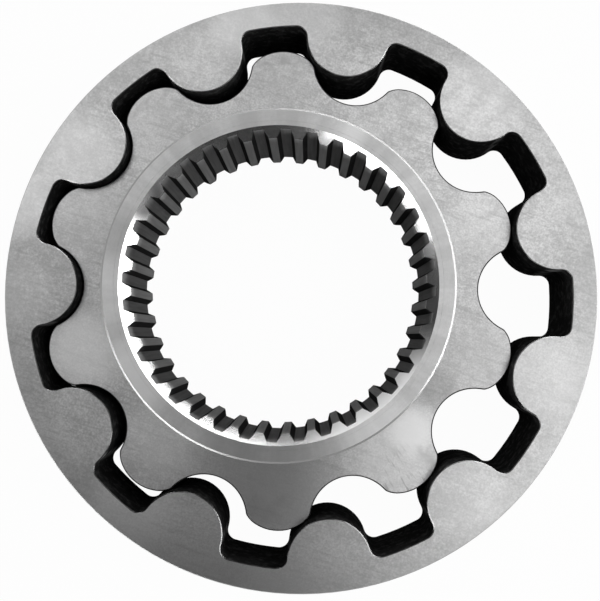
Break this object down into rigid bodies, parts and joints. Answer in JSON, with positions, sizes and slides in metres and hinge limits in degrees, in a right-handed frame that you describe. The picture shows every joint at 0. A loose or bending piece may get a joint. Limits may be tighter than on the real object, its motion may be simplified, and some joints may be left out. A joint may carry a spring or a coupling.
{
  "type": "oil pump rotor set",
  "caption": "Internal gear oil pump rotor set: a lobed inner rotor with a splined, hubbed bore turns off-centre in a lobed outer ring.",
  "frame": {"origin": "axis of the outer rotor, in the plane that both rotors lie on", "axes": "+Z out of the front faces, along both rotor axes; +X from the inner rotor's axis towards the outer rotor's axis"},
  "size_m": [0.088, 0.088, 0.0185],
  "materials": {
    "outer_rotor_steel": "ground faces, dull sintered lobe walls",
    "inner_rotor_steel": "ground faces, dull broached spline",
    "hub_steel": "finely turned"
  },
  "bodies": {
    "hub": {"hub_collar": "hub_steel"},
    "inner": {"inner_rotor": "inner_rotor_steel"},
    "outer": {"outer_rotor": "outer_rotor_steel"}
  },
  "joints": [
    {"name": "inner_spin", "type": "hinge", "parent": "hub", "child": "inner", "pos_m": [-0.00325, 0, 0], "axis": [0, 0, 1], "continuous": true},
    {"name": "outer_spin", "type": "hinge", "parent": "hub", "child": "outer", "pos_m": [0, 0, 0], "axis": [0, 0, 1], "continuous": true}
  ],
  "couplings": [
    {"joint": "outer_spin", "follows": "inner_spin", "ratio": 0.90909}
  ]
}
